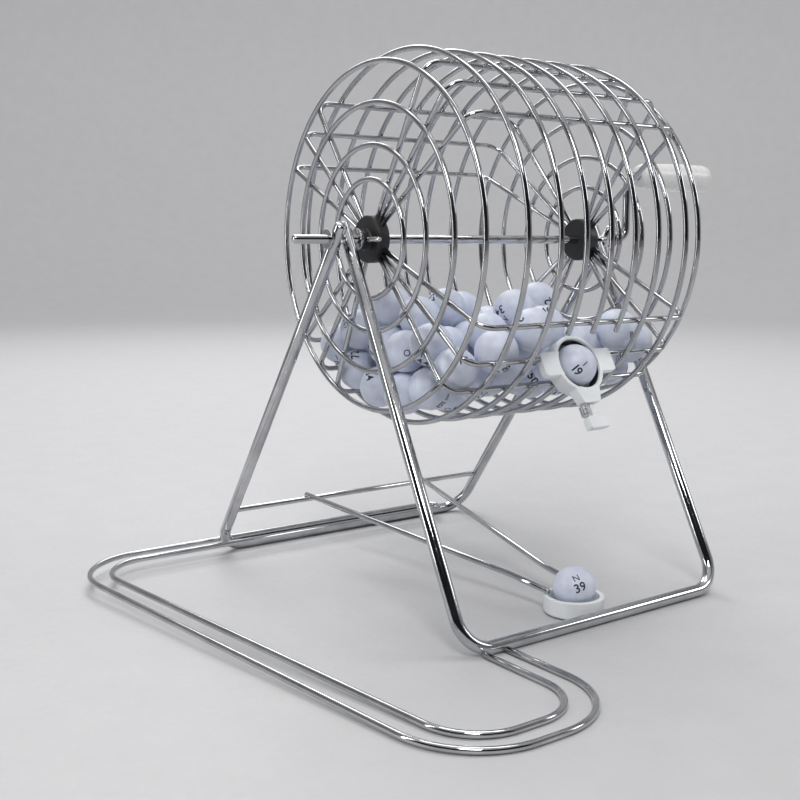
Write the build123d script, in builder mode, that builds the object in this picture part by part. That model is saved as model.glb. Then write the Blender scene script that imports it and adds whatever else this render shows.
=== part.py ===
from build123d import *

import os
from itertools import product
from math import cos, hypot, pi, radians, sin, tan

# Bingo cage: a wire drum that turns on a crank axle, in a bent-rod stand with a ball track.
# Driving dimensions, in millimetres. X runs along the axle, the front is -Y, the floor is Z = 0.
BALL_R = 11.0
WIRE_R = 1.5  # corner radius of the six-sided drum wire, 2.8 mm across
ROD_R = 3.25  # stand rod, to its twelve corners
RAIL_R = 1.6  # track and chute wire
AXLE_R = 2.25
RUNNING_GAP = 0.05  # radial clearance of a turning fit
WELD = 2.5  # wire centre to wire centre where a hoop is welded on a rib
BITE = 0.6  # how far a welded wire's end goes into the rod that holds it

HOOP_R = 95.0  # drum hoops, to the wire's centre
HOOP_CHORDS = 30
MIDDLE_HOOP_X = (-53.3, -33.0, -16.5, 0.0, 16.5, 33.0, 53.3)
CUT_HOOP_X = 20.0  # hoops nearer the middle than this stop at the gate
END_HOOPS = ((87.4, 30), (67.3, 24), (46.7, 20), (29.8, 16))  # radius and chords, outside first
RIB_R = 92.3  # ribs run inside the hoops
RIB_CORNER_X = 70.2
RIB_END_X = 73.5
RIB_END_R = 10.0
RIB_BEND_R = 9.0
RIB_BEND_CHORDS = 3
RIB_GROUP = 39.0  # middle of the first group of three ribs, below the front
RIB_PITCH = 13.0

AXLE_Z = 190.0
FRONT_LEG_X = 88.0
REAR_LEG_X = 95.0
FRONT_FOOT_Y = -95.0
REAR_FOOT_Y = 135.0
LEG_TOP = 8.0  # the leg runs this far past the axle
LEG_CHAMFER = 1.2
FRAME_BEND_R = 16.0
ROD_BEND_CHORDS = 4

HUB_R = 12.0
HUB_X = (70.0, 77.2)  # inner and outer face of the flange
HUB_BOSS_R = 5.0
HUB_BOSS = 4.0
PIN_X = 79.4
PIN_R = 1.2
PIN_LENGTH = 32.0
WASHER_X = (81.75, 83.25)
WASHER_R = 5.5
CLIP_X = (99.5, 100.5)
CLIP_R = 5.0
GROOVE_R = 1.85
GROOVE_END = 100.7
STUB_X = -120.0  # free end of the axle
STUB_CHAMFER = 0.5

CRANK_X = 112.0
CRANK_THROW = 38.0
CRANK_BEND_R = 7.0
GRIP_R = 8.5
GRIP_COLLAR_R = 6.0
GRIP_COLLAR = 3.0
GRIP_LENGTH = 60.0
GRIP_X = CRANK_X + 10.0
BUTTON_R = 4.0
BUTTON = (0.6, 3.0)  # the end button's faces, past the grip

GATE_ANGLE = 39.0  # below the front
GATE_R = 97.0
GATE_TILT = 29.0  # the pocket's mouth faces this far above the horizontal
GATE_TOP = 31.0  # the cut hoops stop here and start again at GATE_BOTTOM
GATE_BOTTOM = 49.5
POCKET_R = 13.1
POCKET_WALL = 2.3
POCKET_DEPTH = 9.0
POCKET_FLOOR = 1.5
POCKET_LIP = 3.8
BALL_SEAT = 4.0  # the caught ball's centre is this far behind the mouth
EAR_X = 24.0
EAR_HEIGHT = 12.5
EAR_RISE = 1.0
EAR_THICKNESS = 4.0
EAR_CORNER = 2.0
SOCKET = 4.0  # how far the cut rib's ends go into the ears
NECK_TOP = (8.5, -12.0)
NECK_END = (5.5, -21.0)
NECK_THICKNESS = 6.0
STEM_WIDTH = 3.0
STEM_LENGTH = 16.5
STEM_Y = -21.0
STEM_BACK = 1.5  # the stem's slot starts this far behind the mouth
LEVER_GAP = 0.35
BAR = (13.0, 6.5, 5.0)
BAR_Y = -31.0

TRACK_GAUGE = 6.5  # rail centre to track centre
TRACK_LEFT = -188.0
TRACK_FRONT = -172.0
TRACK_FRONT_LEFT = -150.0
TRACK_END = -72.0
TRACK_START = 62.0
TRACK_BEND_R = 34.0
TURN_BACK_R = 5.0
CROSS_Z = 30.0
CHUTE = ((44.0, None), (12.5, -40.0), (10.5, -67.0))  # half widths, and how far forward
CUP_Y = -75.0
CUP_R = 15.5
CUP_WALL = 2.6
CUP_HEIGHT = 9.0
CUP_FLOOR = 1.8
CUP_RAISED = 0.6

LOOSE_PITCH = 2 * BALL_R + 0.4
LOOSE_LAYER = 18.1

# The bottom centre of the whole assembly's box is the origin, so the drum's middle stands off it.
LEFT_SIDE = -190.87  # where the outer rail's rear bend reaches
RIGHT_SIDE = GRIP_X + GRIP_LENGTH + BUTTON[1]
FRONT_SIDE = TRACK_FRONT - TRACK_GAUGE - RAIL_R
REAR_SIDE = REAR_FOOT_Y + ROD_R
X0 = -(LEFT_SIDE + RIGHT_SIDE) / 2
Y0 = -(FRONT_SIDE + REAR_SIDE) / 2

os.makedirs("parts", exist_ok=True)


def point(x, y, z):
    """A point of the stand, given from below the middle of the drum."""
    return (X0 + x, Y0 + y, z)


def on_drum(x, angle, radius):
    """A point of the drum: angle 0 faces the front and 90 faces the floor."""
    a = radians(angle)
    return point(x, -radius * cos(a), AXLE_Z - radius * sin(a))


def across(path):
    """The plane square to a path at its start."""
    return Plane(origin=path @ 0, z_dir=path % 0)


def bent(corners, radii, chords):
    """Corners joined by straight runs, with the bend at each inner corner as a few chords."""
    corners = [Vector(*corner) for corner in corners]
    places = [corners[0]]
    for before, corner, after, radius in zip(corners, corners[1:], corners[2:], radii):
        back = (before - corner).normalized()
        onward = (after - corner).normalized()
        half = radians(back.get_angle(onward)) / 2
        centre = corner + (back + onward).normalized() * (radius / sin(half))
        start = corner + back * (radius / tan(half)) - centre
        for k in range(chords + 1):
            turn = (pi - 2 * half) * k / chords
            places.append(centre + start * cos(turn) - back * (radius * sin(turn)))
    return [*places, corners[-1]]


def bar(corners, radius, sides):
    """A bar with flat sides along a route."""
    with BuildPart(mode=Mode.PRIVATE) as made:
        with BuildLine() as route:
            Polyline(*corners)
        with BuildSketch(across(route.wire())):
            RegularPolygon(radius, sides)
        sweep(path=route.wire(), transition=Transition.RIGHT)
    return made.part


def save(made, name):
    made.part.label = name
    export_step(made.part, f"parts/{name}.step")


# Drum hoops: seven round the barrel and four closing each end.
def hoop(name, x, radius, first, turn, chords):
    step = turn / chords
    closed = turn == 360
    with BuildPart() as made:
        with BuildLine() as route:
            corners = [on_drum(x, first - step * k, radius) for k in range(chords + (not closed))]
            Polyline(*corners, close=closed)
        first_chord = route.wire().edges()[0] if closed else route.wire()
        along = 0.5 if closed else 0
        with BuildSketch(Plane(origin=first_chord @ along, z_dir=first_chord % along)):
            RegularPolygon(WIRE_R, 6)
        sweep(path=route.wire(), transition=Transition.RIGHT)
    save(made, name)


for number, x in enumerate(MIDDLE_HOOP_X, 1):
    if abs(x) < CUT_HOOP_X:
        hoop(f"hoop_mid_{number}", x, HOOP_R, GATE_TOP, 360 - (GATE_BOTTOM - GATE_TOP), HOOP_CHORDS - 2)
    else:
        hoop(f"hoop_mid_{number}", x, HOOP_R, 360, 360, HOOP_CHORDS)


def end_hoop_x(radius):
    """Where a hoop of this radius lies against the outside of the ribs' end legs."""
    if radius > RIB_R - RIB_BEND_R:
        rise = radius - (RIB_R - RIB_BEND_R)
        reach = RIB_BEND_R + WELD
        return RIB_CORNER_X - RIB_BEND_R + (reach**2 - rise**2) ** 0.5
    slope = (RIB_END_X - RIB_CORNER_X) / (RIB_R - RIB_END_R)
    return RIB_END_X - slope * (radius - RIB_END_R) + WELD


for number, (radius, chords) in enumerate(END_HOOPS, 1):
    hoop(f"hoop_left_{number}", -end_hoop_x(radius), radius, 360, 360, chords)
    hoop(f"hoop_right_{number}", end_hoop_x(radius), radius, 360, 360, chords)


# Ribs: four groups of three, each bent down over the drum's ends to the hubs.
def rib(name, angle, gap):
    """A rib whose middle is open by gap on each side of the drum's middle."""
    outer = [
        (on_drum(side * RIB_END_X, angle, RIB_END_R), on_drum(side * RIB_CORNER_X, angle, RIB_R))
        for side in (-1, 1)
    ]
    with BuildPart() as made:
        if gap:
            for side, (end, corner) in zip((-1, 1), outer):
                half = bent([end, corner, on_drum(side * gap, angle, RIB_R)], [RIB_BEND_R], RIB_BEND_CHORDS)
                add(bar(half, WIRE_R, 6))
        else:
            corners = [*outer[0], *reversed(outer[1])]
            add(bar(bent(corners, [RIB_BEND_R] * 2, RIB_BEND_CHORDS), WIRE_R, 6))
    save(made, name)


angles = [RIB_GROUP + 90 * quarter + RIB_PITCH * place for quarter in range(4) for place in (-1, 0, 1)]
for number, angle in enumerate(angles, 1):
    rib(f"rib_{number:02d}", angle, EAR_X - SOCKET if angle == RIB_GROUP else 0)

# Axle and crank: one bent rod, grooved for the clips, with a button that keeps the grip on.
with BuildPart() as axle_crank:
    with BuildSketch(Plane.YZ.offset(X0 + STUB_X)):
        with Locations((Y0, AXLE_Z)):
            Circle(AXLE_R)
    extrude(amount=CRANK_X - CRANK_BEND_R - STUB_X)
    chamfer(axle_crank.edges().sort_by(Axis.X)[0], STUB_CHAMFER)
    for groove_x in (-GROOVE_END, CLIP_X[0]):
        with BuildSketch(Plane.YZ.offset(X0 + groove_x)):
            with Locations((Y0, AXLE_Z)):
                Circle(2 * AXLE_R)
                Circle(GROOVE_R, mode=Mode.SUBTRACT)
        extrude(amount=GROOVE_END - CLIP_X[0], mode=Mode.SUBTRACT)
    crank = [
        point(CRANK_X - CRANK_BEND_R - 2, 0, AXLE_Z),
        point(CRANK_X, 0, AXLE_Z),
        point(CRANK_X, 0, AXLE_Z + CRANK_THROW),
        point(GRIP_X + GRIP_LENGTH + 1, 0, AXLE_Z + CRANK_THROW),
    ]
    add(bar(bent(crank, [CRANK_BEND_R] * 2, ROD_BEND_CHORDS), AXLE_R, 12))
    with BuildSketch(Plane.YZ.offset(X0 + GRIP_X + GRIP_LENGTH + BUTTON[0])):
        with Locations((Y0, AXLE_Z + CRANK_THROW)):
            Circle(BUTTON_R)
    extrude(amount=BUTTON[1] - BUTTON[0])
save(axle_crank, "axle_crank")

# Grip: a turned handle with a collar at the crank, free on the crank's end.
with BuildPart() as grip:
    with BuildSketch(Plane(origin=point(0, 0, AXLE_Z + CRANK_THROW), x_dir=(1, 0, 0), z_dir=(0, -1, 0))):
        with BuildLine():
            grip_end = GRIP_X + GRIP_LENGTH
            Polyline(
                (GRIP_X, AXLE_R + RUNNING_GAP),
                (GRIP_X, GRIP_COLLAR_R),
                (GRIP_X + GRIP_COLLAR, GRIP_COLLAR_R),
                (GRIP_X + GRIP_COLLAR, GRIP_R),
                (grip_end, GRIP_R),
                (grip_end, AXLE_R + RUNNING_GAP),
                close=True,
            )
        make_face()
    revolve(axis=Axis(point(0, 0, AXLE_Z + CRANK_THROW), (1, 0, 0)))
save(grip, "crank_grip")


def on_axle(side, span):
    """The plane across the axle at the lower end of a span, and the span's length."""
    return Plane.YZ.offset(X0 + min(side * span[0], side * span[1])), span[1] - span[0]


# Hubs: a flange that takes the ribs' ends, and a boss for the pin.
for side, label in ((-1, "left"), (1, "right")):
    with BuildPart() as hub:
        for span, radius in ((HUB_X, HUB_R), ((HUB_X[1], HUB_X[1] + HUB_BOSS), HUB_BOSS_R)):
            plane, length = on_axle(side, span)
            with BuildSketch(plane):
                with Locations((Y0, AXLE_Z)):
                    Circle(radius)
                    Circle(AXLE_R, mode=Mode.SUBTRACT)
            extrude(amount=length)
    save(hub, f"{label}_hub")

    # Pin: driven through the boss and the axle, so that the drum turns with the crank.
    with BuildPart() as pin:
        with BuildSketch(Plane.XZ.offset(-Y0 - PIN_LENGTH / 2)):
            with Locations((X0 + side * PIN_X, AXLE_Z)):
                Circle(PIN_R)
        extrude(amount=PIN_LENGTH)
    save(pin, f"{label}_hub_pin")

    # Washer inside the legs and clip outside them.
    for name, span, radius, bore in (
        ("washer", WASHER_X, WASHER_R, AXLE_R + RUNNING_GAP),
        ("clip", CLIP_X, CLIP_R, GROOVE_R),
    ):
        plane, length = on_axle(side, span)
        with BuildPart() as ring:
            with BuildSketch(plane):
                with Locations((Y0, AXLE_Z)):
                    RegularPolygon(radius, 12)
                    Circle(bore, mode=Mode.SUBTRACT)
            extrude(amount=length)
        save(ring, f"{label}_{name}")


# Stand: two U-shaped rod frames, drilled for the axle, and a cross wire at the rear.
def frame(name, leg_x, foot_y):
    run = hypot(foot_y, AXLE_Z - ROD_R)
    top_y = -LEG_TOP * foot_y / run
    top_z = AXLE_Z + LEG_TOP * (AXLE_Z - ROD_R) / run
    with BuildPart() as made:
        corners = [
            point(-leg_x, top_y, top_z),
            point(-leg_x, foot_y, ROD_R),
            point(leg_x, foot_y, ROD_R),
            point(leg_x, top_y, top_z),
        ]
        add(bar(bent(corners, [FRAME_BEND_R] * 2, ROD_BEND_CHORDS), ROD_R, 12))
        chamfer(made.faces().sort_by(Axis.Z)[-2:].edges(), LEG_CHAMFER)
        with BuildSketch(Plane.YZ.offset(X0 - leg_x - 2 * ROD_R)):
            with Locations((Y0, AXLE_Z)):
                Circle(AXLE_R + RUNNING_GAP)
        extrude(amount=2 * leg_x + 4 * ROD_R, mode=Mode.SUBTRACT)
    save(made, name)


frame("front_frame", FRONT_LEG_X, FRONT_FOOT_Y)
frame("rear_frame", REAR_LEG_X, REAR_FOOT_Y)

cross_y = REAR_FOOT_Y * (AXLE_Z - CROSS_Z) / (AXLE_Z - ROD_R)
cross_x = REAR_LEG_X - ROD_R + BITE
with BuildPart() as cross_wire:
    with BuildSketch(Plane.YZ.offset(X0 - cross_x)):
        with Locations((Y0 + cross_y, CROSS_Z)):
            RegularPolygon(RAIL_R, 6)
    extrude(amount=2 * cross_x)
save(cross_wire, "rear_cross_wire")


# Track: two rails that start behind the drum, go round the left side and end on the front rod.
# The outer rail's rear end turns back to the inner one's.
def rail(name, side):
    """side is +1 for the rail outside the loop and -1 for the one inside."""
    g = side * TRACK_GAUGE
    rear_z = 2 * ROD_R + RAIL_R
    rear_y = REAR_FOOT_Y - TRACK_GAUGE + g
    corners = [
        point(TRACK_START, rear_y, rear_z),
        point(TRACK_LEFT - g, rear_y, rear_z),
        point(TRACK_FRONT_LEFT - g, TRACK_FRONT - g, RAIL_R),
        point(TRACK_END + g, TRACK_FRONT - g, RAIL_R),
        point(TRACK_END + g, FRONT_FOOT_Y - ROD_R + BITE, RAIL_R),
    ]
    radii = [TRACK_BEND_R + g] * 3
    if side > 0:
        turn_x = TRACK_START + TRACK_GAUGE
        other_y = rear_y - 2 * TRACK_GAUGE
        turn_back = [(TRACK_START, other_y), (turn_x, other_y), (turn_x, rear_y)]
        corners = [*(point(x, y, rear_z) for x, y in turn_back), *corners[1:]]
        radii = [TURN_BACK_R] * 2 + radii
    with BuildPart() as made:
        add(bar(bent(corners, radii, ROD_BEND_CHORDS), RAIL_R, 6))
    save(made, name)


rail("outer_rail", 1)
rail("inner_rail", -1)

# Chute: two wires that close in from the rear cross wire to the cup.
with BuildPart() as chute:
    for side in (-1, 1):
        corners = [
            point(side * CHUTE[0][0], cross_y, CROSS_Z + 2 * RAIL_R - 0.5),
            point(side * CHUTE[1][0], CHUTE[1][1], 14.0),
            point(side * CHUTE[2][0], CHUTE[2][1], CUP_RAISED + CUP_HEIGHT + RAIL_R),
        ]
        add(bar(corners, RAIL_R, 6))
save(chute, "chute_wires")

# Cup: a ring that stops the drawn ball, with a tab over the front rod.
with BuildPart() as ball_cup:
    with BuildSketch(Plane.XY.offset(CUP_RAISED)):
        with Locations((X0, Y0 + CUP_Y)):
            Circle(CUP_R)
    extrude(amount=CUP_HEIGHT)
    with BuildSketch(Plane.XY.offset(2 * ROD_R)):
        with Locations((X0, Y0 + FRONT_FOOT_Y + ROD_R)):
            Rectangle(12.0, 2 * ROD_R + 6.0)
    extrude(amount=CUP_RAISED + CUP_HEIGHT - 2 * ROD_R)
    with BuildSketch(Plane.XY.offset(CUP_RAISED + CUP_FLOOR)):
        with Locations((X0, Y0 + CUP_Y)):
            Circle(CUP_R - CUP_WALL)
    extrude(amount=CUP_HEIGHT, mode=Mode.SUBTRACT)
save(ball_cup, "ball_cup")

# Gate: a pocket set in the drum's wall, that lifts one ball out of the drum.
gate_centre = Vector(*on_drum(0, GATE_ANGLE, GATE_R))
gate_normal = Vector(0, -cos(radians(GATE_TILT)), sin(radians(GATE_TILT)))
gate_face = Plane(origin=gate_centre, x_dir=(1, 0, 0), z_dir=gate_normal)

with BuildPart() as gate:
    with BuildSketch(gate_face):
        Circle(POCKET_R + POCKET_WALL)
    extrude(amount=-POCKET_DEPTH)
    with BuildSketch(gate_face):
        with Locations((0, EAR_RISE)):
            RectangleRounded(2 * EAR_X, EAR_HEIGHT, EAR_CORNER)
    extrude(amount=-EAR_THICKNESS)
    with BuildSketch(gate_face):
        with BuildLine():
            (top_x, top_y), (end_x, end_y) = NECK_TOP, NECK_END
            Polyline((-top_x, top_y), (-end_x, end_y), (end_x, end_y), (top_x, top_y), close=True)
        make_face()
    extrude(amount=-NECK_THICKNESS)
    # the ball's seat, open behind so that the ball rests on a lip
    with BuildSketch(gate_face):
        Circle(POCKET_R)
    extrude(amount=POCKET_FLOOR - POCKET_DEPTH, mode=Mode.SUBTRACT)
    with BuildSketch(gate_face):
        Circle(POCKET_R - POCKET_LIP)
    extrude(amount=-POCKET_DEPTH, mode=Mode.SUBTRACT)
    # the slot through the neck for the lever's stem
    with BuildSketch(gate_face.offset(-STEM_BACK)):
        with Locations((0, -(POCKET_R - NECK_END[1]) / 2)):
            Rectangle(STEM_WIDTH + 2 * LEVER_GAP, -NECK_END[1] - POCKET_R + 3)
    extrude(amount=-STEM_WIDTH, mode=Mode.SUBTRACT)
save(gate, "gate_pocket")

with BuildPart() as lever:
    with BuildSketch(gate_face.offset(-STEM_BACK - LEVER_GAP)):
        with Locations((0, STEM_Y)):
            Rectangle(STEM_WIDTH, STEM_LENGTH)
    extrude(amount=2 * LEVER_GAP - STEM_WIDTH)
    with BuildSketch(gate_face):
        with Locations((0, BAR_Y)):
            RectangleRounded(BAR[0], BAR[1], EAR_CORNER / 2)
    extrude(amount=-BAR[2])
save(lever, "gate_lever")

# Balls: 26 flats, of which 18 touch the true sphere.
with BuildPart() as ball:
    Box(2 * BALL_R, 2 * BALL_R, 2 * BALL_R)
    chamfer(ball.edges(), BALL_R * (2 - 2**0.5))
    for corner in product((-1, 1), repeat=3):
        side_corner = Vector(corner[0], corner[1] * (2**0.5 - 1), corner[2] * (2**0.5 - 1)) * BALL_R
        split(bisect_by=Plane(origin=side_corner, z_dir=corner), keep=Keep.BOTTOM)


def balls(name, places):
    with BuildPart() as made:
        with Locations(*places):
            add(ball.part)
    save(made, name)


balls("caught_ball", [gate_centre - gate_normal * BALL_SEAT])
balls("drawn_ball", [point(0, CUP_Y, CUP_RAISED + CUP_FLOOR + BALL_R)])


# Loose balls: layers in the drum's lower half, clear of its wires and of the pocket as it goes round.
def has_room(x, y, z):
    out = hypot(y, z)
    return abs(x) < 58 and out < 79 and hypot(x, out - 94.5) > 27


places = []
for layer in range(3):
    shift = LOOSE_PITCH / 2 * (layer % 2)
    z = -78.3 + layer * LOOSE_LAYER
    for i, j in product(range(-4, 4), range(-4, 5)):
        place = ((i + 0.5) * LOOSE_PITCH + shift, j * LOOSE_PITCH + shift, z)
        if has_room(*place):
            places.append(point(place[0], place[1], AXLE_Z + place[2]))
balls("loose_balls", places)
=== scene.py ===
"""Looks for the bingo cage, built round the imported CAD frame. Lengths are in metres."""

import math
import random

import bmesh
import bpy
import numpy as np
from mathutils import Matrix, Vector


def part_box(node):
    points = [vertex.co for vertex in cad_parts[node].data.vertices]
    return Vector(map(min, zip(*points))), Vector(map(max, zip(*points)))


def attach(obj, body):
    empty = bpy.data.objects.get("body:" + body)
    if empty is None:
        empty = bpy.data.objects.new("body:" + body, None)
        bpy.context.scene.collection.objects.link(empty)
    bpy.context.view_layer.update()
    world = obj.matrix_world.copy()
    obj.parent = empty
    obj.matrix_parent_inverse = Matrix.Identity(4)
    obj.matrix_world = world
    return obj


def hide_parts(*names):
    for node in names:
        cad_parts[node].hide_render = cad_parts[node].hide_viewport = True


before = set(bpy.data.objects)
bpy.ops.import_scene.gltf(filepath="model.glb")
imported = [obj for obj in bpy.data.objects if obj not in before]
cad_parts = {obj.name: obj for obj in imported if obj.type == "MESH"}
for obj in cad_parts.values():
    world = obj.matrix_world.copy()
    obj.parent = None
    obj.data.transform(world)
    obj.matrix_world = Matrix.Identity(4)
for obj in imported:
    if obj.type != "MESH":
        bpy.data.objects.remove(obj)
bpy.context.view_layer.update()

MM = 0.001
TAU = 2 * math.pi

# Places taken from the frame.
hub_lo = (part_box("left_hub")[0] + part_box("right_hub")[0]) / 2
hub_hi = (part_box("left_hub")[1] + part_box("right_hub")[1]) / 2
AXLE = (hub_lo + hub_hi) / 2  # middle of the drum, on the axle

# The design's own dimensions.
BALL_R = 11 * MM
WIRE_R = 1.4 * MM
ROD_R = 3.25 * MM
RAIL_R = 1.6 * MM
AXLE_R = 2.25 * MM
PIN_R = 1.2 * MM
CLIP_BORE_R = 1.85 * MM
RIB_R = 92.3 * MM
RIB_CORNER_X = 70.2 * MM
RIB_END_X = 73.5 * MM
RIB_END_R = 10 * MM
RIB_BEND_R = 9 * MM
RIB_GROUP = 39  # degrees from the front down to the middle rib of the first group
RIB_PITCH = 13  # degrees between the ribs of a group
CUT_RIB = 2
HOOP_R = 95 * MM
END_HOOP_R = (87.4 * MM, 67.3 * MM, 46.7 * MM, 29.8 * MM)
GATE_TOP = 28.5  # degrees below the front where the cut hoops stop
GATE_BOTTOM = 49.5  # and where they go on
GATE_TILT = math.radians(29)
GATE_EAR_X = 24 * MM
GATE_HALF_WIDTH = 20 * MM
RIB_IN_EAR = 4 * MM
CRANK_THROW = 38 * MM
CRANK_BEND_R = 7 * MM
CRANK_TO_GRIP = 10 * MM
HUB_FLANGE = 7.2 * MM
HUB_BOSS_R = 5 * MM
LEG_TOP = 8 * MM  # the legs' rods end this far past the axle
LEG_BEND_R = 16 * MM
TRACK_GAUGE = 6.5 * MM
TRACK_START = 62 * MM
TRACK_REAR_LEFT = -188 * MM
TRACK_FRONT_LEFT = -150 * MM
TRACK_END = -72 * MM
TRACK_BEND_R = 34 * MM
CHUTE_BEND_R = 20 * MM
WELD_SINK = 0.6 * MM
BALL_SEAT = 4 * MM
WIRE_DOME = 0.6  # height of a wire's domed end over its radius
TURNED_SIDES = 56
ROUND_SIDES = 64  # of the grip and the gate's pocket
FILLET_STEP = 5  # degrees
ARC_STEP = 3  # degrees


def on_drum(x, angle, radius):
    """A point of the drum: angle 0 faces the front and 90 faces the floor."""
    a = math.radians(angle)
    return AXLE + Vector((x, -radius * math.cos(a), -radius * math.sin(a)))


# ---------------------------------------------------------------- materials
def new_material(name, **values):
    """A Principled material with fixed socket values; returns it with its node tree and shader."""
    mat = bpy.data.materials.new(name)
    mat.use_nodes = True
    shader = mat.node_tree.nodes["Principled BSDF"]
    for key, value in values.items():
        shader.inputs[key.replace("_", " ")].default_value = value
    return mat, mat.node_tree, shader


def noise(tree, scale, detail=3.0, roughness=0.5):
    """A noise in the piece's own coordinates."""
    coord = tree.nodes.new("ShaderNodeTexCoord")
    made = tree.nodes.new("ShaderNodeTexNoise")
    made.inputs["Scale"].default_value = scale
    made.inputs["Detail"].default_value = detail
    made.inputs["Roughness"].default_value = roughness
    tree.links.new(coord.outputs["Object"], made.inputs["Vector"])
    return made.outputs["Fac"]


def ramp(tree, source, stops):
    """Colours a value through (place, colour) stops."""
    made = tree.nodes.new("ShaderNodeValToRGB")
    ends = made.color_ramp.elements
    while len(ends) < len(stops):
        ends.new(0.5)
    for end, (place, colour) in zip(ends, stops):
        end.position = place
        end.color = (*colour, 1)
    tree.links.new(source, made.inputs["Fac"])
    return made.outputs["Color"]


def bump(tree, shader, source, strength, distance):
    made = tree.nodes.new("ShaderNodeBump")
    made.inputs["Strength"].default_value = strength
    made.inputs["Distance"].default_value = distance
    tree.links.new(source, made.inputs["Height"])
    tree.links.new(made.outputs["Normal"], shader.inputs["Normal"])


def grey(level):
    return (level, level, level)


def chrome(name, dark, light, dull):
    """Plated steel: drawn-wire waviness, cloudy patches and a little tarnish."""
    mat, tree, shader = new_material(name, Metallic=1.0)
    clouds = ramp(tree, noise(tree, 60, 4), [(0.35, dark), (0.62, light)])
    tree.links.new(clouds, shader.inputs["Base Color"])
    smears = ramp(tree, noise(tree, 220, 5, 0.6), [(0.3, grey(dull)), (0.75, grey(dull * 2.6))])
    tree.links.new(smears, shader.inputs["Roughness"])
    bump(tree, shader, noise(tree, 420), 0.12, 0.2 * MM)
    return mat


def plastic(name, light, dark, rough, grain=900, depth=0.12):
    """Moulded plastic: a slight mottle and a fine moulded grain."""
    mat, tree, shader = new_material(name, Specular_IOR_Level=0.45)
    mottle = ramp(tree, noise(tree, 35), [(0.3, dark), (0.7, light)])
    tree.links.new(mottle, shader.inputs["Base Color"])
    patches = ramp(tree, noise(tree, 260, 4), [(0.3, grey(rough * 0.8)), (0.7, grey(rough * 1.2))])
    tree.links.new(patches, shader.inputs["Roughness"])
    bump(tree, shader, noise(tree, grain, 4, 0.6), depth, 0.3 * MM)
    return mat


# The wires' and rods' base colours sit well below plated steel's. That is painted dark reflection, which
# gives the wires dark cores against the pale stage. The cloudy patches between the two colours are random
# tone.
WIRE = chrome("chrome_wire", (0.40, 0.405, 0.42), (0.52, 0.525, 0.54), 0.05)
ROD = chrome("chrome_rod", (0.46, 0.465, 0.48), (0.60, 0.605, 0.62), 0.045)
WELD = chrome("chrome_weld", (0.22, 0.215, 0.21), (0.40, 0.395, 0.39), 0.14)
SPRING = chrome("spring_steel", (0.45, 0.46, 0.48), (0.62, 0.63, 0.65), 0.1)
WHITE = plastic("white_plastic", (0.88, 0.90, 0.91), (0.80, 0.83, 0.85), 0.36)
GRIP = plastic("grip_plastic", (0.84, 0.84, 0.82), (0.76, 0.76, 0.75), 0.28)
BLACK = plastic("hub_plastic", (0.022, 0.022, 0.024), (0.012, 0.012, 0.013), 0.42)
INK = plastic("ball_ink", (0.030, 0.032, 0.060), (0.015, 0.016, 0.035), 0.5, 2500, 0.3)


def ball_material():
    """Cool white plastic with a powdery grain, soft mottling and a faint seam round the middle."""
    mat, tree, shader = new_material("ball_plastic", Specular_IOR_Level=0.5, Subsurface_Weight=0.08)
    shader.inputs["Subsurface Scale"].default_value = 2 * MM
    mottle = ramp(tree, noise(tree, 160, 5, 0.6), [(0.3, (0.62, 0.67, 0.81)), (0.7, (0.76, 0.80, 0.91))])
    tree.links.new(mottle, shader.inputs["Base Color"])
    scuffs = ramp(tree, noise(tree, 420, 5), [(0.35, grey(0.32)), (0.7, grey(0.5))])
    tree.links.new(scuffs, shader.inputs["Roughness"])
    coord = tree.nodes.new("ShaderNodeTexCoord")
    axes = tree.nodes.new("ShaderNodeSeparateXYZ")
    tree.links.new(coord.outputs["Object"], axes.inputs["Vector"])
    away = tree.nodes.new("ShaderNodeMath")
    away.operation = "ABSOLUTE"
    tree.links.new(axes.outputs["Y"], away.inputs[0])
    seam = tree.nodes.new("ShaderNodeMath")
    seam.operation = "LESS_THAN"
    seam.inputs[1].default_value = 0.12 * MM
    tree.links.new(away.outputs[0], seam.inputs[0])
    powder = noise(tree, 1500, 4, 0.7)
    height = tree.nodes.new("ShaderNodeMath")
    height.operation = "MULTIPLY_ADD"
    height.inputs[1].default_value = -0.8
    tree.links.new(seam.outputs[0], height.inputs[0])
    tree.links.new(powder, height.inputs[2])
    bump(tree, shader, height.outputs[0], 0.16, 0.2 * MM)
    return mat


BALL = ball_material()


# ---------------------------------------------------------------- mesh helpers
def add_object(name, mesh, materials, body, slot, *nodes, place=(0, 0, 0)):
    """Puts a mesh in the scene, on a body, standing for CAD nodes."""
    for mat in materials:
        mesh.materials.append(mat)
    made = bpy.data.objects.new(name, mesh)
    bpy.context.scene.collection.objects.link(made)
    made.matrix_world = Matrix.Translation(place)
    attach(made, body)
    if nodes:
        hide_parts(*nodes)


def smooth(mesh):
    for face in mesh.polygons:
        face.use_smooth = True


def creased(mesh, angle):
    """Smooth shading with sharp edges where faces meet at more than angle degrees."""
    smooth(mesh)
    mesh.set_sharp_from_angle(angle=math.radians(angle))


def poured(bm, name):
    """Turns a bmesh into a mesh and frees it."""
    mesh = bpy.data.meshes.new(name)
    bm.to_mesh(mesh)
    bm.free()
    return mesh


def to_mesh(bm, name, angle):
    bmesh.ops.recalc_face_normals(bm, faces=bm.faces)
    mesh = poured(bm, name)
    creased(mesh, angle)
    return mesh


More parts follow.
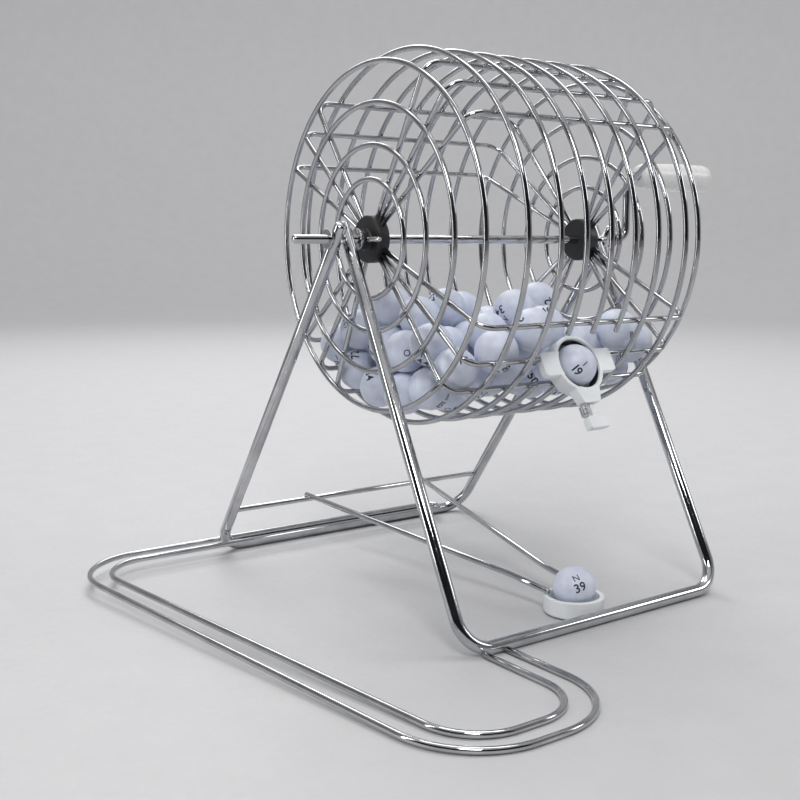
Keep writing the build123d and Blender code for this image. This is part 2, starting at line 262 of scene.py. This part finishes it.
def filleted(points, radius):
    """A route of straight runs joined by tangent arcs, as a close list of points."""
    points = [Vector(p) for p in points]
    made = [points[0]]
    for before, corner, after in zip(points, points[1:], points[2:]):
        u = (before - corner).normalized()
        v = (after - corner).normalized()
        half = u.angle(v) / 2
        reach = radius / math.tan(half)
        centre = corner + (u + v).normalized() * (radius / math.sin(half))
        start, end = corner + u * reach - centre, corner + v * reach - centre
        turn = math.pi - 2 * half
        count = max(3, round(math.degrees(turn) / FILLET_STEP))
        axis = start.cross(end).normalized()
        for k in range(count + 1):
            made.append(centre + Matrix.Rotation(turn * k / count, 3, axis) @ start)
    return [*made, points[-1]]


def sweep(bm, points, radius, closed, sides):
    """A round wire along points, with domed ends unless it is closed."""
    points = [Vector(p) for p in points]
    n = len(points)
    if closed:
        heads = [(points[(k + 1) % n] - points[k - 1]).normalized() for k in range(n)]
    else:
        inner = [(points[k + 1] - points[k - 1]).normalized() for k in range(1, n - 1)]
        heads = [(points[1] - points[0]).normalized(), *inner, (points[-1] - points[-2]).normalized()]
    side = heads[0].orthogonal().normalized()
    rings = []

    def ring(centre, head, r):
        across = head.cross(side).normalized()
        turns = [TAU * j / sides for j in range(sides)]
        return [bm.verts.new(centre + (side * math.cos(a) + across * math.sin(a)) * r) for a in turns]

    def dome_ring(centre, head, way, t):
        """A ring of a domed end, from t = 0 at the dome's top to 1 at its foot."""
        rise = radius * WIRE_DOME * (1 - t)
        return ring(centre + head * way * rise, head, radius * math.sin(t * math.pi / 2))

    for k, (place, head) in enumerate(zip(points, heads)):
        if k:
            side = heads[k - 1].rotation_difference(head) @ side
            side = (side - head * side.dot(head)).normalized()
        if k == 0 and not closed:
            rings += [dome_ring(place, head, -1, t) for t in (0.25, 0.6)]
        rings.append(ring(place, head, radius))
    if not closed:
        rings += [dome_ring(points[-1], heads[-1], 1, t) for t in (0.6, 0.25)]
    for a, b in zip(rings, rings[1:]):
        for j in range(sides):
            bm.faces.new((a[j], a[(j + 1) % sides], b[(j + 1) % sides], b[j]))
    if closed:
        a, b = rings[-1], rings[0]
        turn = min(range(sides), key=lambda s: (a[0].co - b[s].co).length)
        for j in range(sides):
            bm.faces.new((a[j], a[(j + 1) % sides], b[(j + 1 + turn) % sides], b[(j + turn) % sides]))
    else:
        bm.faces.new(rings[0][::-1])
        bm.faces.new(rings[-1])


def wire(name, routes, radius, material, body, slot, *nodes, closed=False, sides=14):
    """One piece made of bent wires."""
    bm = bmesh.new()
    for points in routes:
        sweep(bm, points, radius, closed, sides)
    add_object(name, to_mesh(bm, name, 60), [material], body, slot, *nodes)


def lathe(bm, outline, origin, axis, sides):
    """Turns a closed outline of (along, out) points round an axis."""
    axis = Vector(axis).normalized()
    u = axis.orthogonal().normalized()
    v = axis.cross(u)
    rings = []
    for k in range(sides):
        a = TAU * k / sides
        out = u * math.cos(a) + v * math.sin(a)
        rings.append([bm.verts.new(Vector(origin) + axis * p + out * q) for p, q in outline])
    m = len(outline)
    for k in range(sides):
        a, b = rings[k], rings[(k + 1) % sides]
        for j in range(m):
            bm.faces.new((a[j], a[(j + 1) % m], b[(j + 1) % m], b[j]))


def rounded(outline, radius):
    """Rounds the corners of a closed (x, y) outline, by less where a side is short."""
    steps = 4
    longest = 0.45
    made = []
    n = len(outline)
    for k in range(n):
        p = Vector(outline[k])
        a, b = Vector(outline[k - 1]) - p, Vector(outline[(k + 1) % n]) - p
        r = min(radius, a.length * longest, b.length * longest)
        a.normalize()
        b.normalize()
        for s in range(steps + 1):
            t = s / steps
            made.append(tuple(p + a * r * (1 - t) ** 2 + b * r * t**2))
    return made


def turned(name, outline, origin, axis, material, body, slot, *nodes, radius=0.4 * MM):
    """A turned piece with rounded edges."""
    bm = bmesh.new()
    lathe(bm, rounded(outline, radius), origin, axis, TURNED_SIDES)
    add_object(name, to_mesh(bm, name, 50), [material], body, slot, *nodes)


# ---------------------------------------------------------------- drum
def arc(x, radius, first, last):
    """Points round the drum from one angle to another."""
    count = round(abs(last - first) / ARC_STEP)
    return [on_drum(x, first + (last - first) * k / count, radius) for k in range(count + 1)]


hoop_places = []
for node in sorted(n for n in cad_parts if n.startswith("hoop_")):
    lo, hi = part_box(node)
    x = (lo.x + hi.x) / 2 - AXLE.x
    radius = HOOP_R if "mid" in node else END_HOOP_R[int(node[-1]) - 1]
    hoop_places.append((x, radius))
    cut = abs(x) < GATE_HALF_WIDTH
    if cut:
        route = arc(x, radius, GATE_TOP, GATE_BOTTOM - 360)
    else:
        route = arc(x, radius, 0, 360)[:-1]
    wire(node + "_wire", [route], WIRE_R, WIRE, "drum", "drum_wire", node, closed=not cut)

rib_angles = [RIB_GROUP + 90 * quarter + RIB_PITCH * place for quarter in range(4) for place in (-1, 0, 1)]
for number, angle in enumerate(rib_angles, 1):
    cut = GATE_EAR_X - RIB_IN_EAR if number == CUT_RIB else 0
    ends = [
        [
            on_drum(side * RIB_END_X, angle, RIB_END_R),
            on_drum(side * RIB_CORNER_X, angle, RIB_R),
            on_drum(side * cut, angle, RIB_R),
        ]
        for side in (-1, 1)
    ]
    if cut:
        routes = [filleted(points, RIB_BEND_R) for points in ends]
    else:
        routes = [filleted(ends[0][:2] + ends[1][1::-1], RIB_BEND_R)]
    wire(f"rib_{number:02d}_wire", routes, WIRE_R, WIRE, "drum", "drum_wire", f"rib_{number:02d}")


def weld_beads():
    """A small stretched bead wherever a hoop is welded on a rib, on the hoop's inner side."""
    wall_end, turn_length = 60 * MM, 15 * MM
    depth = WIRE_R * 0.9
    stretch = Matrix.Diagonal((1.25, 1.0, 1.0, 1.0))
    rng = random.Random(7)
    bm = bmesh.new()
    for x, radius in hoop_places:
        inward = min(1.0, max(0.0, (abs(x) - wall_end) / turn_length))
        for angle in rib_angles:
            if abs(x) < GATE_HALF_WIDTH and GATE_TOP < angle < GATE_BOTTOM:
                continue
            place = on_drum(x - math.copysign(depth * inward, x), angle, radius - depth * (1 - inward))
            size = WIRE_R * rng.uniform(0.95, 1.15)
            turn = Matrix.Rotation(rng.uniform(0, TAU), 4, "X")
            matrix = Matrix.Translation(place) @ turn @ stretch
            bmesh.ops.create_icosphere(bm, subdivisions=2, radius=size, matrix=matrix)
    add_object("weld_beads", to_mesh(bm, "weld_beads", 80), [WELD], "drum", "drum_wire")


weld_beads()

# ---------------------------------------------------------------- axle, hubs, crank
axle_lo, axle_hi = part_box("axle_crank")
grip_lo, grip_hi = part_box("crank_grip")
crank_x = grip_lo.x - CRANK_TO_GRIP
grip_z = AXLE.z + CRANK_THROW
crank_corners = [
    (axle_lo.x + 1 * MM, AXLE.y, AXLE.z),
    (crank_x, AXLE.y, AXLE.z),
    (crank_x, AXLE.y, grip_z),
    (axle_hi.x - 2 * MM, AXLE.y, grip_z),
]
axle_route = filleted(crank_corners, CRANK_BEND_R)
wire("axle_crank_rod", [axle_route], AXLE_R, ROD, "drum", "stand_wire", "axle_crank", sides=24)
turned(
    "crank_end_button",
    [(0, 0.2 * MM), (0, 4 * MM), (1.8 * MM, 3.4 * MM), (2.3 * MM, 0.2 * MM)],
    (grip_hi.x + 0.6 * MM, AXLE.y, grip_z),
    (1, 0, 0),
    ROD,
    "drum",
    "stand_wire",
    radius=0.5 * MM,
)


def grip():
    """The crank's grip: a swelling barrel with turned rings at both ends."""
    length = grip_hi.x - grip_lo.x
    full = (grip_hi.z - grip_lo.z) / 2
    bore = AXLE_R + 0.05 * MM
    outline = [(0, bore), (0, full * 0.70), (0.6 * MM, full * 0.76), (3.0 * MM, full * 0.86)]
    for groove in (5.5 * MM, 7.5 * MM):
        half = 0.5 * MM
        outline += [(groove - half, full * 0.88), (groove, full * 0.84), (groove + half, full * 0.88)]
    steps = 12
    for k in range(1, steps):
        t = k / steps
        along = 9 * MM + (length - 15 * MM) * t
        swell = math.sin(math.pi * (t * 0.62 + 0.08)) ** 1.5
        outline.append((along, full * (0.885 + 0.11 * swell)))
    outline += [
        (length - 4.5 * MM, full * 0.985),
        (length - 2.0 * MM, full * 0.93),
        (length - 0.6 * MM, full * 0.80),
        (length, full * 0.66),
        (length, bore),
    ]
    bm = bmesh.new()
    lathe(bm, outline, (grip_lo.x, AXLE.y, grip_z), (1, 0, 0), ROUND_SIDES)
    mesh = to_mesh(bm, "grip_barrel", 60)
    add_object("grip_barrel", mesh, [GRIP], "grip", "grip", "crank_grip")


grip()


def hub(label, side):
    """A moulded hub: a flange that takes the ribs' ends, and a boss for the pin."""
    lo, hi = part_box(f"{label}_hub")
    inner = min(abs(lo.x - AXLE.x), abs(hi.x - AXLE.x))
    hub_r = (hi.z - lo.z) / 2
    length = hi.x - lo.x
    outline = [
        (0, AXLE_R),
        (0, hub_r - 1 * MM),
        (0.8 * MM, hub_r),
        (HUB_FLANGE - 0.8 * MM, hub_r),
        (HUB_FLANGE, hub_r - 1 * MM),
        (HUB_FLANGE, HUB_BOSS_R + 0.6 * MM),
        (HUB_FLANGE + 0.8 * MM, HUB_BOSS_R),
        (length, HUB_BOSS_R - 0.2 * MM),
        (length, AXLE_R),
    ]
    origin = (AXLE.x + side * inner, AXLE.y, AXLE.z)
    turned(f"{label}_hub_boss", outline, origin, (side, 0, 0), BLACK, "drum", "hub", f"{label}_hub")


def axle_ring(node, bore, body):
    """A flat ring on the axle."""
    lo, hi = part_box(node)
    thickness = hi.x - lo.x
    r = (hi.z - lo.z) / 2
    outline = [(0, bore), (0, r), (thickness, r), (thickness, bore)]
    origin = (lo.x, AXLE.y, AXLE.z)
    turned(f"{node}_ring", outline, origin, (1, 0, 0), ROD, body, "stand_wire", node, radius=0.3 * MM)


def hub_pin(label):
    """The roll pin through a hub's boss and the axle."""
    lo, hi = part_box(f"{label}_hub_pin")
    x, z = (lo.x + hi.x) / 2, (lo.z + hi.z) / 2
    route = [(x, lo.y + 0.5 * MM, z), (x, hi.y - 0.5 * MM, z)]
    wire(f"{label}_hub_roll_pin", [route], PIN_R, ROD, "drum", "stand_wire", f"{label}_hub_pin")


for side, label in ((-1, "left"), (1, "right")):
    hub(label, side)
    axle_ring(f"{label}_washer", AXLE_R + 0.04 * MM, "stand")
    axle_ring(f"{label}_clip", CLIP_BORE_R, "drum")
    hub_pin(label)


# ---------------------------------------------------------------- stand
def leg_frame(node):
    """A U-shaped rod frame, from one leg's top round the foot to the other's."""
    lo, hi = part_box(node)
    foot_y = lo.y + ROD_R if node == "front_frame" else hi.y - ROD_R
    x = (hi.x - lo.x) / 2 - ROD_R
    foot = Vector((0, foot_y - AXLE.y, ROD_R - AXLE.z))
    top = -foot.normalized() * LEG_TOP

    def at(side, v):
        return AXLE + Vector((side * x, 0, 0)) + v

    route = filleted([at(-1, top), at(-1, foot), at(1, foot), at(1, top)], LEG_BEND_R)
    wire(node + "_rod", [route], ROD_R, ROD, "stand", "stand_wire", node, sides=28)


leg_frame("front_frame")
leg_frame("rear_frame")

lo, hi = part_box("rear_cross_wire")
cross = (lo + hi) / 2
cross_ends = [(lo.x, cross.y, cross.z), (hi.x, cross.y, cross.z)]
wire("rear_cross_rod", [cross_ends], RAIL_R, ROD, "stand", "stand_wire", "rear_cross_wire")


def rails():
    """The ball track's two rails, from behind the drum round its left end to the front rod."""
    middle_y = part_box("rear_frame")[1].y - ROD_R - TRACK_GAUGE
    front_rod_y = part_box("front_frame")[0].y + ROD_R
    start_x = AXLE.x + TRACK_START
    rear_z = 2 * ROD_R + RAIL_R
    for node, g in (("outer_rail", TRACK_GAUGE), ("inner_rail", -TRACK_GAUGE)):
        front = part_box(node)[0].y + RAIL_R
        corners = [
            (start_x, middle_y + g, rear_z),
            (AXLE.x + TRACK_REAR_LEFT - g, middle_y + g, rear_z),
            (AXLE.x + TRACK_FRONT_LEFT - g, front, RAIL_R),
            (AXLE.x + TRACK_END + g, front, RAIL_R),
            (AXLE.x + TRACK_END + g, front_rod_y - ROD_R + WELD_SINK, RAIL_R),
        ]
        route = filleted(corners, TRACK_BEND_R + g)
        if node == "outer_rail":
            # Its rear end turns back to the inner rail.
            turns = [math.radians(a) for a in range(-90, 90, 12)]
            back = [(start_x + g * math.cos(a), middle_y + g * math.sin(a), rear_z) for a in turns]
            route = [Vector(p) for p in back] + route
        wire(node + "_wire", [route], RAIL_R, ROD, "stand", "stand_wire", node)


rails()

cup_lo, cup_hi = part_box("ball_cup")
cup = Vector((AXLE.x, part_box("drawn_ball")[0].y + BALL_R, cup_lo.z))


def chute_wire(side):
    """One of the two wires that lead from the rear cross wire down to the cup."""
    corners = [
        (AXLE.x + side * 44 * MM, cross.y, cross.z + 2 * RAIL_R - 0.4 * MM),
        (AXLE.x + side * 12.5 * MM, AXLE.y - 40 * MM, 14 * MM),
        (AXLE.x + side * 10.5 * MM, cup.y + 8 * MM, cup_hi.z + RAIL_R - 0.1 * MM),
    ]
    return filleted(corners, CHUTE_BEND_R)


chute = [chute_wire(side) for side in (-1, 1)]
wire("chute_wires_bent", chute, RAIL_R, ROD, "stand", "stand_wire", "chute_wires")
cup_outline = [
    (0, 5 * MM),
    (0, 14.6 * MM),
    (0.9 * MM, 15.5 * MM),
    (9 * MM, 15.5 * MM),
    (9 * MM, 12.9 * MM),
    (3 * MM, 12.7 * MM),
    (1.8 * MM, 11.5 * MM),
    (1.8 * MM, 5 * MM),
]
turned(
    "ball_cup_ring",
    cup_outline,
    cup,
    (0, 0, 1),
    WHITE,
    "stand",
    "white_plastic",
    "ball_cup",
    radius=0.6 * MM,
)

# ---------------------------------------------------------------- gate
gate_n = Vector((0, -math.cos(GATE_TILT), math.sin(GATE_TILT)))
gate_up = Vector((0, math.sin(GATE_TILT), math.cos(GATE_TILT)))
caught_lo, caught_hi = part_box("caught_ball")
GATE = (caught_lo + caught_hi) / 2 + gate_n * BALL_SEAT
GATE_MATRIX = Matrix.Translation(GATE) @ Matrix(
    ((1, 0, 0, 0), (0, gate_up.y, gate_n.y, 0), (0, gate_up.z, gate_n.z, 0), (0, 0, 0, 1))
)


def slab(outline, top, bottom, bevel):
    """A flat moulded plate with rounded edges, in the gate's own frame."""
    bm = bmesh.new()
    face = bm.faces.new([bm.verts.new((x, y, bottom)) for x, y in outline])
    extruded = bmesh.ops.extrude_face_region(bm, geom=[face])["geom"]
    raised = [v for v in extruded if isinstance(v, bmesh.types.BMVert)]
    bmesh.ops.translate(bm, verts=raised, vec=(0, 0, top - bottom))
    bmesh.ops.recalc_face_normals(bm, faces=bm.faces)
    flat = [e for e in bm.edges if abs(e.verts[0].co.z - e.verts[1].co.z) < 1e-7]
    rims = [e for e in flat if len(e.link_faces) == 2]
    bmesh.ops.bevel(bm, geom=rims, offset=bevel, segments=3, affect="EDGES", profile=0.6)
    return bm


def rectangle(cy, w, h):
    """A rectangle's outline, centred across the gate."""
    return [(-w / 2, cy - h / 2), (w / 2, cy - h / 2), (w / 2, cy + h / 2), (-w / 2, cy + h / 2)]


def evaluated(made):
    """An object's mesh with its modifiers applied."""
    bpy.context.view_layer.update()
    return bpy.data.meshes.new_from_object(made.evaluated_get(bpy.context.evaluated_depsgraph_get()))


def union(name, solids, holes):
    """One closed mesh from overlapping closed ones, less the holes."""
    objects = []
    for k, bm in enumerate([*solids, *holes]):
        bmesh.ops.recalc_face_normals(bm, faces=bm.faces)
        made = bpy.data.objects.new(f"{name}_{k}", poured(bm, f"{name}_{k}"))
        bpy.context.scene.collection.objects.link(made)
        objects.append(made)
    base = objects[0]
    for k, other in enumerate(objects[1:], 1):
        step = base.modifiers.new(f"step{k}", "BOOLEAN")
        step.operation = "UNION" if k < len(solids) else "DIFFERENCE"
        step.solver = "EXACT"
        step.object = other
    mesh = evaluated(base)
    for made in objects:
        bpy.data.objects.remove(made)
    mesh.name = name
    return mesh


def gate():
    """The white moulding: the pocket's ring, the ears across the ribs, and the neck with the lever's slot."""
    ring = bmesh.new()
    ring_outline = [
        (0, 13.3 * MM),
        (0, 15.4 * MM),
        (-9 * MM, 15.0 * MM),
        (-9 * MM, 9.4 * MM),
        (-7.8 * MM, 9.3 * MM),
        (-6.6 * MM, 13.1 * MM),
    ]
    lathe(ring, rounded(ring_outline, 0.7 * MM), (0, 0, 0), (0, 0, 1), ROUND_SIDES)
    ears_outline = rounded(rectangle(1 * MM, 2 * GATE_EAR_X, 12.5 * MM), 2.2 * MM)
    ears = slab(ears_outline, 0, -4 * MM, 0.5 * MM)
    neck_outline = [(-8.5 * MM, -12 * MM), (-5.5 * MM, -21 * MM), (5.5 * MM, -21 * MM), (8.5 * MM, -12 * MM)]
    neck = slab(rounded(neck_outline, 1.2 * MM), 0, -6 * MM, 0.5 * MM)
    bore_r, bore_length, bore_foot = 13.1 * MM, 12 * MM, -7.2 * MM
    bore = bmesh.new()
    bmesh.ops.create_cone(
        bore, cap_ends=True, segments=ROUND_SIDES, radius1=bore_r, radius2=bore_r, depth=bore_length
    )
    bmesh.ops.translate(bore, verts=bore.verts, vec=(0, 0, bore_foot + bore_length / 2))
    slot = slab(rectangle(-17 * MM, 3.7 * MM, 11 * MM), -1.5 * MM, -4.5 * MM, 0.1 * MM)
    mesh = union("gate_pocket_moulding", [ring, ears, neck], [bore, slot])
    mesh.transform(GATE_MATRIX)
    creased(mesh, 35)
    add_object("gate_pocket_moulding", mesh, [WHITE], "drum", "white_plastic", "gate_pocket")


gate()


def pocket_liner():
    """A thin black ring on the pocket's inner wall: painted shade, so the bore reads dark instead of lit
    white.
    """
    top, foot, outer, inner = -1.4 * MM, -7.3 * MM, 13.15 * MM, 12.95 * MM
    outline = [(top, outer), (foot, outer), (foot, inner), (top, inner)]
    bm = bmesh.new()
    lathe(bm, outline, (0, 0, 0), (0, 0, 1), ROUND_SIDES)
    mesh = to_mesh(bm, "gate_pocket_painted_shade", 40)
    mesh.transform(GATE_MATRIX)
    add_object("gate_pocket_painted_shade", mesh, [BLACK], "drum", "hub")


pocket_liner()


def lever():
    """The lever: a stem in the neck's slot, with a bar to pull."""
    stem = slab(rectangle(-21 * MM, 3 * MM, 16.5 * MM), -1.85 * MM, -4.15 * MM, 0.3 * MM)
    bar = slab(rounded(rectangle(-31 * MM, 13 * MM, 6.5 * MM), 1.6 * MM), 0, -5 * MM, 0.6 * MM)
    mesh = union("gate_lever_tab", [stem, bar], [])
    mesh.transform(GATE_MATRIX)
    creased(mesh, 35)
    add_object("gate_lever_tab", mesh, [WHITE], "lever", "white_plastic", "gate_lever")


def spring():
    """The end of the lever's coil spring, beside its stem."""
    steps, coils, coil_r, length = 180, 5, 1.9 * MM, 5.2 * MM
    top = Vector((-5.2 * MM, -21.8 * MM, -3 * MM))
    route = []
    for k in range(steps + 1):
        t = k / steps
        a = TAU * coils * t
        route.append(GATE_MATRIX @ (top + Vector((coil_r * math.cos(a), -length * t, coil_r * math.sin(a)))))
    wire("lever_spring", [route], 0.4 * MM, SPRING, "lever", "stand_wire", sides=8)


lever()
spring()


# ---------------------------------------------------------------- balls
CAPITAL_HEIGHT = 0.7  # of the plain typeface, over its size
GLYPH_GRID = 0.9 * MM
INK_RISE = 0.035 * MM
LETTER_UP = 2.9 * MM
DIGIT_DOWN = 2.2 * MM
DIGIT_GAP = 0.55 * MM
CAUGHT_NUMBER = 19
DRAWN_NUMBER = 39
LOOSE = 73


def glyph(text, height, weight):
    """A character as (points, faces, width), centred and cut up finely enough to wrap on a ball."""
    curve = bpy.data.curves.new("glyph", "FONT")
    curve.body = text
    curve.size = height / CAPITAL_HEIGHT
    curve.offset = weight
    curve.resolution_u = 3
    made = bpy.data.objects.new("glyph", curve)
    bpy.context.scene.collection.objects.link(made)
    mesh = evaluated(made)
    bpy.data.objects.remove(made)
    bm = bmesh.new()
    bm.from_mesh(mesh)
    xs = [v.co.x for v in bm.verts]
    ys = [v.co.y for v in bm.verts]
    middle = Vector(((min(xs) + max(xs)) / 2, (min(ys) + max(ys)) / 2, 0))
    bmesh.ops.translate(bm, verts=bm.verts, vec=-middle)
    width = max(xs) - min(xs)
    for axis in (0, 1):
        for k in range(-8, 9):
            place, normal = Vector((0, 0, 0)), Vector((0, 0, 0))
            place[axis], normal[axis] = k * GLYPH_GRID, 1
            geom = [*bm.verts, *bm.edges, *bm.faces]
            bmesh.ops.bisect_plane(bm, geom=geom, plane_co=place, plane_no=normal, dist=1e-7)
    bmesh.ops.triangulate(bm, faces=bm.faces)
    bm.verts.index_update()
    points = [tuple(v.co) for v in bm.verts]
    faces = [tuple(v.index for v in f.verts) for f in bm.faces]
    bm.free()
    return points, faces, width


LETTER = {c: glyph(c, 3.4 * MM, 0.02 * MM) for c in "BINGO"}
DIGIT = {c: glyph(c, 4.4 * MM, 0.12 * MM) for c in "0123456789"}


def print_side(bm, number, flip):
    """A letter over a number, wrapped on the ball's +Z or -Z side."""
    letter = "BINGO"[(number - 1) // 15]
    digits = [DIGIT[d] for d in str(number)]
    items = [(LETTER[letter], 0.0, LETTER_UP)]
    left = -(sum(width for _, _, width in digits) + DIGIT_GAP * (len(digits) - 1)) / 2
    for digit in digits:
        width = digit[2]
        items.append((digit, left + width / 2, -DIGIT_DOWN))
        left += width + DIGIT_GAP
    surface = BALL_R + INK_RISE
    for (points, faces, _), dx, dy in items:
        verts = []
        for px, py, _ in points:
            x, y = px + dx, py + dy
            rho = math.hypot(x, y) or 1e-9
            a = rho / surface
            p = Vector((x / rho * math.sin(a), y / rho * math.sin(a), math.cos(a))) * surface
            verts.append(bm.verts.new(Vector((-p.x, p.y, -p.z)) if flip else p))
        for f in faces:
            bm.faces.new([verts[i] for i in f]).material_index = 1


def ball(name, number, place, turn, body, *nodes):
    """A ball with its number on two sides. The turn is put in the mesh, not in the object."""
    bm = bmesh.new()
    bmesh.ops.create_icosphere(bm, subdivisions=4, radius=BALL_R)
    for flip in (False, True):
        print_side(bm, number, flip)
    mesh = poured(bm, name)
    mesh.transform(turn.to_4x4())
    smooth(mesh)
    add_object(name, mesh, [BALL, INK], body, "ball", *nodes, place=place)


def settle(count):
    """Places of balls dropped in the drum and come to rest, in millimetres from the axle's middle.

    A ball stays inside the wires and the end hoops, inside the gate's ears where it is within their
    width, and clear of the ring that the pocket sweeps as the drum turns.
    """
    rng = np.random.default_rng(21)
    r = 11.06
    reach_r, reach_x = 90.6 - r, 68.6 - r
    pocket_r, pocket_away = 94.5, 15.9 + r
    ear_x, ear_r = 24 + r, 88.6 - r
    steps, full_steps, first_fall = 900, 500, 0.6
    places = np.column_stack([
        rng.uniform(-reach_x, reach_x, count),
        rng.uniform(-62, 62, count),
        rng.uniform(-60, 15, count),
    ])
    first, second = np.triu_indices(count, 1)
    for step in range(steps):
        fall = first_fall if step < full_steps else first_fall * (steps - step) / (steps - full_steps)
        places[:, 2] -= fall * 0.5
        for _ in range(5):
            gap = places[first] - places[second]
            away = np.linalg.norm(gap, axis=1)
            close = away < 2 * r
            push = gap[close] / away[close][:, None] * ((2 * r - away[close]) / 2)[:, None]
            np.add.at(places, first[close], push * 0.9)
            np.add.at(places, second[close], -push * 0.9)
            out = np.hypot(places[:, 1], places[:, 2])
            limit = np.where(np.abs(places[:, 0]) < ear_x, ear_r, reach_r)
            over = out > limit
            places[over, 1:] *= (limit[over] / out[over])[:, None]
            places[:, 0] = np.clip(places[:, 0], -reach_x, reach_x)
            out = np.hypot(places[:, 1], places[:, 2])
            dx, dr = places[:, 0], out - pocket_r
            away = np.hypot(dx, dr)
            near = away < pocket_away
            grow = pocket_away / np.maximum(away[near], 1e-6)
            places[near, 0] = dx[near] * grow
            places[near, 1:] *= ((pocket_r + dr[near] * grow) / out[near])[:, None]
    return places


rng = random.Random(5)
numbers = [n for n in range(1, 76) if n not in (CAUGHT_NUMBER, DRAWN_NUMBER)]
rng.shuffle(numbers)


def any_turn():
    """A random turn, from three angles drawn in this order."""
    about_x, about_z, about_y = (Matrix.Rotation(rng.uniform(0, TAU), 3, axis) for axis in "XZY")
    return about_x @ about_z @ about_y


for k, place in enumerate(settle(LOOSE)):
    nodes = ["loose_balls"] if k == 0 else []
    place = AXLE + Vector(place) * MM
    ball(f"loose_ball_{k + 1:02d}", numbers[k], place, any_turn(), "loose_balls", *nodes)


def facing(direction, spin):
    """A turn that shows a ball's print to a direction."""
    z = Vector(direction).normalized()
    x = Vector((0, 0, 1)).cross(z).normalized()
    y = z.cross(x)
    return Matrix((x, y, z)).transposed() @ Matrix.Rotation(math.radians(spin), 3, "Z")


caught_turn = facing((-0.45, -0.85, 0.05), -50)
ball("caught_ball_printed", CAUGHT_NUMBER, (caught_lo + caught_hi) / 2, caught_turn, "drum", "caught_ball")
drawn_lo, drawn_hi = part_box("drawn_ball")
drawn_turn = facing((-0.5, -0.8, 0.5), 20)
ball("drawn_ball_printed", DRAWN_NUMBER, (drawn_lo + drawn_hi) / 2, drawn_turn, "stand", "drawn_ball")


# ---------------------------------------------------------------- stage, lights, camera
AZIMUTH = math.radians(36)  # of the camera, from the front towards the left
ELEVATION = math.radians(8)
DISTANCE = 0.6
FLOOR = plastic("floor", (0.56, 0.56, 0.57), (0.54, 0.54, 0.55), 0.6, 300, 0.03)
DRAPE = plastic("drape", (0.035, 0.035, 0.04), (0.025, 0.025, 0.03), 0.8, 300, 0.03)


def bowl_stage():
    """A pale floor that curves up into a round wall, dark in the sector behind the camera."""
    centre_r, reach, bend, top, steps = 0.8, 2.2, 1.0, 3.0, 72
    dark_half, dark_from = math.radians(62), 7
    turns = np.linspace(0, math.pi / 2, 17)
    curve = [(reach + bend * math.sin(a), bend - bend * math.cos(a)) for a in turns]
    profile = [(centre_r, 0.0), *curve, (reach + bend, top)]
    bm = bmesh.new()
    rings = []
    for k in range(steps):
        a = TAU * k / steps
        rings.append([bm.verts.new((d * math.sin(a), d * math.cos(a), z)) for d, z in profile])
    bm.faces.new([ring[0] for ring in reversed(rings)])
    for k in range(steps):
        a, b = rings[k], rings[(k + 1) % steps]
        behind = math.cos(TAU * (k + 0.5) / steps - AZIMUTH - math.pi) > math.cos(dark_half)
        for j in range(len(profile) - 1):
            face = bm.faces.new((a[j], b[j], b[j + 1], a[j + 1]))
            face.material_index = int(behind and j >= dark_from)
    mesh = poured(bm, "stage")
    mesh.materials.append(FLOOR)
    mesh.materials.append(DRAPE)
    smooth(mesh)
    made = bpy.data.objects.new("stage", mesh)
    bpy.context.scene.collection.objects.link(made)


bowl_stage()


def area(name, place, target, size, power, colour=(1, 1, 1), tall=None):
    """A rectangular soft light facing its target."""
    data = bpy.data.lights.new(name, "AREA")
    data.shape = "RECTANGLE"
    data.size = size
    data.size_y = tall or size
    data.energy = power
    data.color = colour
    made = bpy.data.objects.new(name, data)
    made.location = place
    made.rotation_euler = (Vector(target) - Vector(place)).to_track_quat("-Z", "Y").to_euler()
    bpy.context.scene.collection.objects.link(made)


cage = Vector((0, 0, 0.14))
area("key", (-0.75, -0.95, 1.25), cage, 0.5, 11, (1.0, 0.99, 0.98))
area("fill", (1.2, -0.8, 0.8), cage, 0.4, 3, (0.96, 0.98, 1.0))
area("back", (0.5, 1.3, 1.3), cage, 0.8, 9)
area("strip", (-1.25, 0.35, 0.55), cage, 0.12, 4, tall=1.1)
area("wall", (0.4, 0.5, 2.6), (1.7, 2.2, 0.9), 1.8, 42)


def studio_world():
    """A dim studio, lighter overhead, so that the plated wires have dark cores."""
    world = bpy.data.worlds.new("studio")
    world.use_nodes = True
    tree = world.node_tree
    coord = tree.nodes.new("ShaderNodeTexCoord")
    axes = tree.nodes.new("ShaderNodeSeparateXYZ")
    tree.links.new(coord.outputs["Generated"], axes.inputs["Vector"])
    heights = [(0.0, grey(0.03)), (0.25, grey(0.06)), (0.75, grey(0.55)), (1.0, grey(0.75))]
    shade = ramp(tree, axes.outputs["Z"], heights)
    tree.links.new(shade, tree.nodes["Background"].inputs["Color"])
    tree.nodes["Background"].inputs["Strength"].default_value = 0.9
    bpy.context.scene.world = world


studio_world()
bpy.context.scene.view_settings.view_transform = "Standard"

camera = bpy.data.cameras.new("camera")
camera.sensor_width = 36
camera.lens = 50.5
camera.dof.use_dof = False
view = bpy.data.objects.new("camera", camera)
bpy.context.scene.collection.objects.link(view)
level = math.cos(ELEVATION)
away = Vector((-math.sin(AZIMUTH) * level, -math.cos(AZIMUTH) * level, math.sin(ELEVATION)))
target = Vector((-0.047, 0.029, 0.105))
view.location = target + away * DISTANCE
view.rotation_euler = (-away).to_track_quat("-Z", "Y").to_euler()
camera.clip_start = 0.01
bpy.context.scene.camera = view
